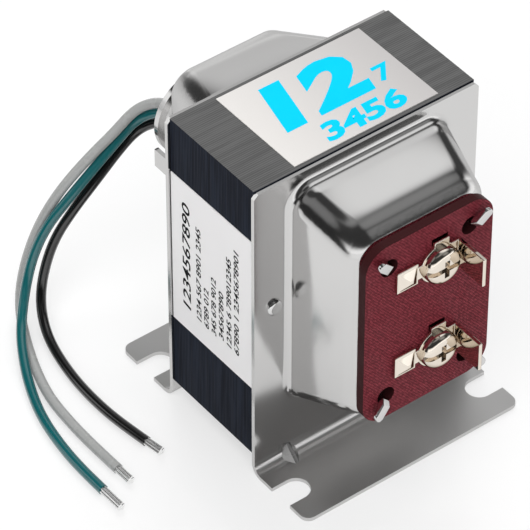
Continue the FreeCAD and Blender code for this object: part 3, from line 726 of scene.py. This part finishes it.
class Workshop:
    """Makes finished pieces, keeps one material for each finish and hands pieces to the frame."""

    def __init__(self, frame: dict) -> None:
        """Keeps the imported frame.
        """
        self.nodes = frame["nodes"]
        self.materials: dict[str, bpy.types.Material] = {}

    def finish(self, finish: Finish) -> bpy.types.Material:
        """Makes the material of a finish, once.

        Args:
            finish: The finish.

        Returns:
            Its material.
        """
        if finish.name not in self.materials:
            self.materials[finish.name] = finish.make()
        return self.materials[finish.name]

    def paint(self, node: str, finish: Finish) -> None:
        """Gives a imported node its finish.

        Args:
            node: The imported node.
            finish: Its finish.
        """
        mesh = self.nodes[node].data
        mesh.materials.clear()
        mesh.materials.append(self.finish(finish))
        LOG.info("painted %s", node)

    def piece(
        self, name: str, mesh: bpy.types.Mesh, finish: Finish, *replaced: str
    ) -> bpy.types.Object:
        """Turns a mesh into a piece of the part.

        Args:
            name: The piece's name.
            mesh: Its mesh, in place.
            finish: Its finish.
            *replaced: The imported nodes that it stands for.

        Returns:
            The piece's object.
        """
        piece = bpy.data.objects.new(name, mesh)
        bpy.context.scene.collection.objects.link(piece)
        mesh.materials.clear()
        mesh.materials.append(self.finish(finish))
        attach(piece, BODY)
        if replaced:
            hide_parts(*replaced)
        LOG.info("built %s with %d faces", name, len(mesh.polygons))
        return piece

    def copy(self, node: str) -> bmesh.types.BMesh:
        """Copies a node's mesh, with its doubles merged and its flat faces joined.

        Args:
            node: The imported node.

        Returns:
            The copy.
        """
        shape = bmesh.new()
        shape.from_mesh(self.nodes[node].data)
        bmesh.ops.remove_doubles(shape, verts=shape.verts, dist=MERGE_WITHIN)
        bmesh.ops.dissolve_limit(
            shape, angle_limit=FLAT_WITHIN, verts=shape.verts, edges=shape.edges
        )
        return shape

    def dress(
        self,
        node: str,
        finish: Finish,
        edge: float,
        sharp: float = math.radians(28),
        shape: bmesh.types.BMesh | None = None,
    ) -> bpy.types.Object:
        """Replaces a node by a copy with small rounded edges and smooth shading.

        Args:
            node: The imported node.
            finish: The piece's finish.
            edge: The radius of the rounded edges.
            sharp: Edges that turn by more than this are rounded.
            shape: The shape to dress in place of a plain copy.

        Returns:
            The piece's object.
        """
        mesh = to_mesh(shape or self.copy(node), node + "_dressed")
        piece = self.piece(node + "_dressed", mesh, finish, node)
        smooth(mesh, sharp)
        bevel = piece.modifiers.new("rounded edges", "BEVEL")
        bevel.width = edge
        bevel.segments = 2
        bevel.limit_method = "ANGLE"
        bevel.angle_limit = sharp
        bevel.harden_normals = True
        return piece


def to_mesh(shape: bmesh.types.BMesh, name: str) -> bpy.types.Mesh:
    """Turns a shape into a mesh, and frees it.

    Args:
        shape: The shape.
        name: The mesh's name.

    Returns:
        The mesh.
    """
    mesh = bpy.data.meshes.new(name)
    shape.to_mesh(mesh)
    shape.free()
    return mesh


def smooth(mesh: bpy.types.Mesh, sharp: float) -> None:
    """Shades a mesh smooth, but for its sharp edges.

    Args:
        mesh: The mesh.
        sharp: Edges that turn by more than this stay sharp.
    """
    for polygon in mesh.polygons:
        polygon.use_smooth = True
    mesh.set_sharp_from_angle(angle=sharp)


# Metal work


@dataclass
class Pressings:
    """The two steel pressings, with the rivets that hold them on the core.

    Edges beyond tab_front that turn by more than tab_turn are the ends of the board's tabs.
    """

    shop: Workshop
    edge: float = 0.16 * MM
    rivet_edge: float = 0.08 * MM
    tab_front: float = -33.2 * MM
    tab_edge: float = 0.35 * MM
    tab_turn: float = math.radians(40)

    def build(self) -> None:
        """Builds both pressings and the rivets."""
        for node in ("front_frame", "rear_frame"):
            shape = self.shop.copy(node)
            self.ease(shape)
            self.shop.dress(node, STEEL, self.edge, shape=shape)
        self.shop.dress("core_rivets", RIVET, self.rivet_edge)

    def ease(self, shape: bmesh.types.BMesh) -> None:
        """Rounds the ends of the tabs that hold the board.

        Args:
            shape: The pressing.
        """
        ends = [
            edge
            for edge in shape.edges
            if all(vertex.co.y < self.tab_front for vertex in edge.verts)
            and edge.is_manifold
            and edge.calc_face_angle() > self.tab_turn
        ]
        bmesh.ops.bevel(
            shape,
            geom=ends,
            offset=self.tab_edge,
            segments=3,
            profile=0.5,
            affect="EDGES",
            material=-1,
            clamp_overlap=True,
        )


@dataclass
class Core:
    """The laminated core, the bobbin on its middle leg and what lies inside the bells."""

    shop: Workshop
    edge: float = 0.12 * MM

    def build(self) -> None:
        """Builds the stacks and paints what they and the bells hide."""
        for node in ("e_laminations", "i_laminations"):
            self.shop.dress(node, LAMINATIONS, self.edge)
        for node, finish in (
            ("primary_winding", WIRE),
            ("primary_wrap", TAPE),
            ("secondary_winding", WIRE),
            ("secondary_wrap", TAPE),
            ("bobbin", NYLON),
            ("thermal_cutoff", RIVET),
            ("splice_sleeves", TINNED),
            ("inner_leads", BLACK_COVER),
            ("lead_bushing", BLACK_MOULDING),
            ("secondary_tails", WIRE),
        ):
            self.shop.paint(node, finish)


@dataclass
class TerminalBoard:
    """The fibre board with its two screw terminals."""

    shop: Workshop
    board_edge: float = 0.12 * MM
    plate_edge: float = 0.20 * MM

    def build(self) -> None:
        """Builds the board, the stamped plates and the screws."""
        self.shop.dress("terminal_board", FIBRE, self.board_edge)
        for level in ("upper", "lower"):
            self.shop.dress(f"{level}_terminal", NICKEL, self.plate_edge)
            self.shop.dress(f"{level}_screw", NICKEL, self.plate_edge)


# Labels


@dataclass(frozen=True)
class Row:
    """A row of numerals: its start on the label, its height and its length, in millimetres.

    The weight is how far each stroke is widened, as a share of the font's size.
    """

    text: str
    start: tuple[float, float]
    height: float
    length: float
    weight: float


TOP_ROWS = (
    Row("12", (-11.4, -3.9), 13.4, 22.2, 0.05),
    Row("7", (12.0, -3.2), 4.6, 4.4, 0.03),
    Row("3456", (-6.6, -11.0), 5.4, 19.6, 0.04),
)
SIDE_ROWS = (
    Row("1234567890", (28.7, 6.9), 2.6, 27.4, 0.015),
    Row("1234 567 8901 2345", (28.2, 3.5), 1.6, 24.4, 0.02),
    Row("6789 012", (28.0, 1.1), 1.6, 10.4, 0.02),
    Row("345 678 9012", (28.0, -1.3), 1.6, 15.0, 0.02),
    Row("34567890", (28.6, -3.7), 1.6, 12.6, 0.02),
    Row("12345 6 789012345", (28.4, -6.2), 1.6, 23.5, 0.02),
    Row("67890 1 2345678901", (28.2, -8.6), 1.6, 27.2, 0.02),
)


@dataclass
class Labels:
    """The white label on the core's side and the silver one on its top, with plain numerals."""

    shop: Workshop
    lift: float = 0.02 * MM
    slant: float = 0.16
    curve_steps: int = 3

    def build(self) -> None:
        """Builds both labels and their print."""
        self.shop.paint("side_label", WHITE_FILM)
        self.shop.paint("top_label", SILVER_FILM)
        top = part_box("top_label")[1].z
        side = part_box("side_label")[0].x
        upright = Matrix.Translation((0, 0, top))
        turned = Matrix(((0, 0, -1, side), (0, 1, 0, 0), (1, 0, 0, 0), (0, 0, 0, 1)))
        self.print_rows("top_print", TOP_ROWS, upright, CYAN_INK)
        self.print_rows("side_print", SIDE_ROWS, turned, DARK_INK)

    def print_rows(self, name: str, rows: tuple[Row, ...], label: Matrix, ink: Moulding) -> None:
        """Prints rows of numerals on a label.

        Args:
            name: The piece's name.
            rows: The rows.
            label: Takes a place on the label, with Z out of it, into the model's frame.
            ink: The finish of the print.
        """
        shape = bmesh.new()
        for row in rows:
            mesh = self.numerals(row)
            mesh.transform(label)
            shape.from_mesh(mesh)
            bpy.data.meshes.remove(mesh)
        self.shop.piece(name, to_mesh(shape, name), ink)

    def numerals(self, row: Row) -> bpy.types.Mesh:
        """Sets a row of numerals, stretched to the row's height and length.

        Args:
            row: The row.

        Returns:
            Its flat mesh on the label.
        """
        curve = bpy.data.curves.new("numerals", "FONT")
        curve.body = row.text
        curve.resolution_u = self.curve_steps
        curve.offset = row.weight
        curve.shear = self.slant
        helper = bpy.data.objects.new("numerals", curve)
        bpy.context.scene.collection.objects.link(helper)
        mesh = bpy.data.meshes.new_from_object(helper)
        bpy.data.objects.remove(helper)
        low = Vector(min(vertex.co[axis] for vertex in mesh.vertices) for axis in range(2))
        high = Vector(max(vertex.co[axis] for vertex in mesh.vertices) for axis in range(2))
        along = row.length * MM / (high.x - low.x)
        up = row.height * MM / (high.y - low.y)
        place = (row.start[0] * MM, row.start[1] * MM, self.lift)
        fit = Matrix.Diagonal((along, up, 1, 1)) @ Matrix.Translation((-low.x, -low.y, 0))
        mesh.transform(Matrix.Translation(place) @ fit)
        return mesh


# Free leads


@dataclass(frozen=True)
class Lead:
    """One free lead: its name, cover, length and bare end, and its route from the bushing.

    The length and the bare end are in metres, the route's points in millimetres.
    """

    name: str
    cover: Moulding
    length: float
    tip_length: float
    route: tuple[tuple[float, float, float], ...]


WHITE_LEAD = Lead(
    "white", WHITE_COVER, 0.1121, 0.0042,
    (
        (-4.0, 40.6, 44.7), (-4.0, 44.4, 44.7), (-5.5, 48.0, 43.5), (-8.5, 50.4, 41.3),
        (-13.3, 50.6, 37.8), (-18.9, 51.5, 33.7), (-25.1, 52.6, 28.0), (-29.3, 54.0, 21.1),
        (-32.5, 54.7, 13.8), (-35.8, 53.5, 7.0), (-38.5, 50.3, 2.8), (-41.1, 44.8, 1.08),
        (-44.5, 36.8, 1.08), (-47.2, 27.8, 1.08), (-48.0, 19.3, 1.08), (-48.2, 11.0, 1.08),
        (-48.0, 3.0, 1.08),
    ),
)
GREEN_LEAD = Lead(
    "green", GREEN_COVER, 0.1104, 0.006,
    (
        (-4.0, 40.6, 42.0), (-4.0, 44.5, 42.0), (-5.4, 48.1, 40.7), (-8.4, 50.5, 38.3),
        (-12.9, 50.6, 35.1), (-18.5, 50.6, 31.1), (-25.0, 50.6, 26.3), (-30.1, 51.5, 20.9),
        (-33.7, 51.8, 14.4), (-37.3, 49.9, 8.0), (-41.1, 46.0, 4.2), (-44.6, 40.9, 3.1),
        (-48.4, 33.3, 1.3), (-51.7, 24.1, 1.08), (-53.3, 14.6, 1.08), (-53.8, 6.4, 1.08),
        (-53.7, 0.1, 1.08),
    ),
)
BLACK_LEAD = Lead(
    "black", BLACK_COVER, 0.0984, 0.0042,
    (
        (-4.0, 40.6, 39.3), (-4.0, 44.7, 39.3), (-5.4, 48.3, 37.9), (-8.2, 50.5, 35.5),
        (-12.4, 50.7, 32.4), (-18.7, 50.2, 27.8), (-24.1, 50.5, 22.8), (-28.4, 51.0, 17.4),
        (-31.2, 50.8, 11.8), (-33.6, 49.6, 6.5), (-35.7, 46.5, 3.1), (-37.7, 41.3, 1.3),
        (-39.4, 34.0, 1.08), (-40.4, 26.2, 1.08), (-40.5, 18.2, 1.08), (-39.9, 11.6, 1.08),
        (-39.0, 5.7, 1.08),
    ),
)


@dataclass
class Leads:
    """The free leads with their tinned strands, which the tin runs together."""

    shop: Workshop
    radius: float = 1.08 * MM
    strand: float = 0.37 * MM
    outer_strands: int = 6
    spacing: float = 0.8
    unevenness: float = 0.02
    strand_sides: int = 12
    strand_sharp: float = math.radians(40)
    route_steps: int = 8
    round_steps: int = 6
    leads: tuple[Lead, ...] = (WHITE_LEAD, GREEN_LEAD, BLACK_LEAD)

    def build(self) -> None:
        """Builds each lead and its strands."""
        for lead in self.leads:
            points = [Vector(point) * MM for point in lead.route]
            strands = self.strands(lead, points[-1], (points[-1] - points[-2]).normalized())
            cover = self.cover(lead, points)
            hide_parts(lead.name + "_lead")

    def cover(self, lead: Lead, points: list[Vector]) -> bpy.types.Object:
        """Lays the lead's insulation as a round curve along its route.

        Args:
            lead: The lead.
            points: The route's points.

        Returns:
            The insulation's object.
        """
        curve = bpy.data.curves.new(lead.name + "_cover", "CURVE")
        curve.dimensions = "3D"
        curve.resolution_u = self.route_steps
        curve.bevel_depth = self.radius
        curve.bevel_resolution = self.round_steps
        curve.use_fill_caps = True
        spline = curve.splines.new("NURBS")
        spline.points.add(len(points) - 1)
        for knot, point in zip(spline.points, points):
            knot.co = (*point, 1)
        spline.order_u = 3
        spline.use_endpoint_u = True
        curve.materials.append(self.shop.finish(lead.cover))
        cover = bpy.data.objects.new(lead.name + "_cover", curve)
        bpy.context.scene.collection.objects.link(cover)
        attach(cover, BODY)
        LOG.info("laid the %s lead", lead.name)
        return cover

    def strands(self, lead: Lead, start: Vector, heading: Vector) -> bpy.types.Object:
        """Builds the strands of a bare end: one in the middle and the others round it.

        Args:
            lead: The lead.
            start: Where the insulation ends.
            heading: The way the lead runs there.

        Returns:
            The strands' object.
        """
        places = [Vector()]
        for index in range(self.outer_strands):
            turn = index * math.tau / self.outer_strands
            aside = Vector((math.cos(turn), math.sin(turn), 0))
            places.append(aside * 2 * self.strand * self.spacing)
        shape = bmesh.new()
        for index, place in enumerate(places):
            length = lead.tip_length * (1 - self.unevenness * (index % 3))
            bmesh.ops.create_cone(
                shape,
                cap_ends=True,
                segments=self.strand_sides,
                radius1=self.strand,
                radius2=self.strand,
                depth=length,
                matrix=Matrix.Translation(place + Vector((0, 0, length / 2))),
            )
        turned = heading.to_track_quat("Z", "Y").to_matrix().to_4x4()
        shape.transform(Matrix.Translation(start) @ turned)
        mesh = to_mesh(shape, lead.name + "_strands")
        smooth(mesh, self.strand_sharp)
        return self.shop.piece(lead.name + "_strands", mesh, TINNED, lead.name + "_tip")


# Studio


@dataclass(frozen=True)
class Panel:
    """A round patch of the surroundings that the metal mirrors, bright or dark.

    Its level is 1 for white. The spread and the soft rim are in degrees from its middle.
    """

    toward: tuple[float, float, float]
    spread: float
    rim: float
    level: float

    def over(self, graph: Graph, sight: Socket, under: Socket) -> Socket:
        """Lays the panel over what the surroundings show so far.

        Args:
            graph: The world's graph.
            sight: The direction that is looked in.
            under: The light under the panel.

        Returns:
            The light with the panel in it.
        """
        along = graph.add("VectorMath", operation="DOT_PRODUCT")
        graph.join(sight, along.inputs[0])
        along.inputs[1].default_value = Vector(self.toward).normalized()
        share = graph.add(
            "MapRange",
            interpolation_type="SMOOTHSTEP",
            From_Min=math.cos(math.radians(self.spread + self.rim)),
            From_Max=math.cos(math.radians(self.spread - self.rim)),
        )
        graph.join(along.outputs["Value"], share.inputs["Value"])
        return graph.blend(share.outputs["Result"], under, (self.level,) * 3)


@dataclass(frozen=True)
class Lamp:
    """A square soft lamp: its name, its place, the length of its side and its power in watts."""

    name: str
    place: tuple[float, float, float]
    size: float
    power: float


@dataclass
class Studio:
    """White floor, soft lamps, the surroundings that the metal mirrors, and the camera.

    The heights are pairs of a height in the surroundings and the level there: 0 is straight
    down, 0.5 the horizon and 1 straight up, and a level of 1 is white.
    """

    eye: Vector = field(default_factory=lambda: Vector((-0.37633, -0.47370, 0.59459)))
    target: Vector = field(default_factory=lambda: Vector((-0.01047, 0.00432, 0.03385)))
    focal_pixels: float = 4191.17
    frame_pixels: float = 530.0
    sensor: float = 36.0
    near_clip: float = 10 * MM
    floor_reach: float = 3.0
    floor_colour: Colour = (0.92, 0.92, 0.92)
    floor_roughness: float = 0.12
    floor_glow: float = 0.55
    heights: Stops = (
        (0.485, 0.90), (0.500, 1.0), (0.518, 1.3), (0.60, 1.2), (0.68, 0.03), (0.90, 0.05),
        (0.95, 0.30),
    )
    panels: tuple[Panel, ...] = (
        Panel((0.45, 0.84, 0.30), 14, 4, 0.80),
        Panel((-0.20, 0.90, 0.38), 28, 8, 0.05),
        Panel((-0.68, 0.58, 0.45), 11, 4, 1.2),
        Panel((-1.0, 0.15, 0.05), 28, 8, 0.03),
        Panel((-0.25, 0.05, 0.97), 18, 7, 0.05),
        Panel((-0.70, 0.12, 0.69), 15, 6, 0.24),
        Panel((0.90, 0.15, 0.42), 26, 10, 0.06),
        Panel((0.48, 0.12, 0.87), 18, 12, 1.0),
        Panel((0.45, 0.62, 0.64), 14, 8, 0.60),
        Panel((0.445, -0.58, 0.68), 12, 9, 0.30),
    )
    lamps: tuple[Lamp, ...] = (
        Lamp("key", (-0.45, -0.35, 0.85), 1.0, 9.0),
        Lamp("back", (0.5, 0.6, 0.9), 1.0, 8.0),
    )

    def build(self) -> None:
        """Builds the camera, the floor, the surroundings and the lamps."""
        bpy.context.scene.view_settings.view_transform = "Standard"
        self.camera()
        self.floor()
        self.surroundings()
        for lamp in self.lamps:
            self.hang(lamp)

    def camera(self) -> None:
        """Puts the camera where the photograph was taken from."""
        data = bpy.data.cameras.new("camera")
        data.sensor_width = self.sensor
        data.lens = self.focal_pixels / self.frame_pixels * self.sensor
        data.clip_start = self.near_clip
        camera = bpy.data.objects.new("camera", data)
        camera.rotation_mode = "QUATERNION"
        camera.rotation_quaternion = (self.target - self.eye).to_track_quat("-Z", "Y")
        camera.location = self.eye
        bpy.context.scene.collection.objects.link(camera)
        bpy.context.scene.camera = camera

    def floor(self) -> None:
        """Lays the floor, which glows a little where it is seen, so that it reads as white."""
        shape = bmesh.new()
        bmesh.ops.create_grid(shape, x_segments=1, y_segments=1, size=self.floor_reach)
        floor = bpy.data.objects.new("floor", to_mesh(shape, "floor"))
        bpy.context.scene.collection.objects.link(floor)
        graph = MaterialGraph("floor")
        graph.constant(
            Base_Color=(*self.floor_colour, 1),
            Roughness=self.floor_roughness,
            Specular_IOR_Level=0.5,
        )
        mix = graph.add("MixShader")
        glow = graph.calculate("MULTIPLY", self.seen(graph), self.floor_glow)
        graph.join(glow, mix.inputs["Fac"])
        graph.join(graph.shader.outputs[0], mix.inputs[1])
        graph.join(graph.add("Emission", Strength=1.0).outputs[0], mix.inputs[2])
        graph.join(mix.outputs[0], graph.nodes["Material Output"].inputs["Surface"])
        floor.data.materials.append(graph.material)

    @staticmethod
    def seen(graph: Graph) -> Socket:
        """Marks what the camera sees itself, in a mirror or through glass.

        Args:
            graph: The graph that asks.

        Returns:
            1 for what it sees and 0 for what only gives light.
        """
        path = graph.add("LightPath").outputs
        mirrored = graph.calculate("MAXIMUM", path["Is Camera Ray"], path["Is Glossy Ray"])
        return graph.calculate("MAXIMUM", mirrored, path["Is Transmission Ray"])

    def surroundings(self) -> None:
        """Sets the studio round the object: levels by height, then the panels over them."""
        world = bpy.data.worlds.new("studio")
        world.use_nodes = True
        graph = Graph(world.node_tree)
        sight = graph.add("TexCoord").outputs["Generated"]
        height = graph.add("MapRange", From_Min=-1.0)
        graph.join(graph.split(sight)["Z"], height.inputs["Value"])
        light = graph.steps(height.outputs["Result"], self.heights)
        for panel in self.panels:
            light = panel.over(graph, sight, light)
        graph.join(light, graph.nodes["Background"].inputs["Color"])
        bpy.context.scene.world = world

    def hang(self, lamp: Lamp) -> None:
        """Hangs a lamp that points at the object and isn't mirrored in it.

        Args:
            lamp: The lamp.
        """
        data = bpy.data.lights.new(lamp.name, "AREA")
        data.size = lamp.size
        data.energy = lamp.power
        light = bpy.data.objects.new(lamp.name, data)
        light.location = lamp.place
        light.rotation_mode = "QUATERNION"
        toward = self.target - Vector(lamp.place)
        light.rotation_quaternion = toward.to_track_quat("-Z", "Y")
        light.visible_glossy = False
        bpy.context.scene.collection.objects.link(light)


def main() -> None:
    """Builds every part of the scene."""
    logging.basicConfig(level=logging.INFO, format="%(message)s")
    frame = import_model()
    shop = Workshop(frame)
    Studio().build()
    for assembly in (Leads, Pressings, Core, TerminalBoard, Labels):
        assembly(shop).build()


if __name__ == "__main__":
    main()
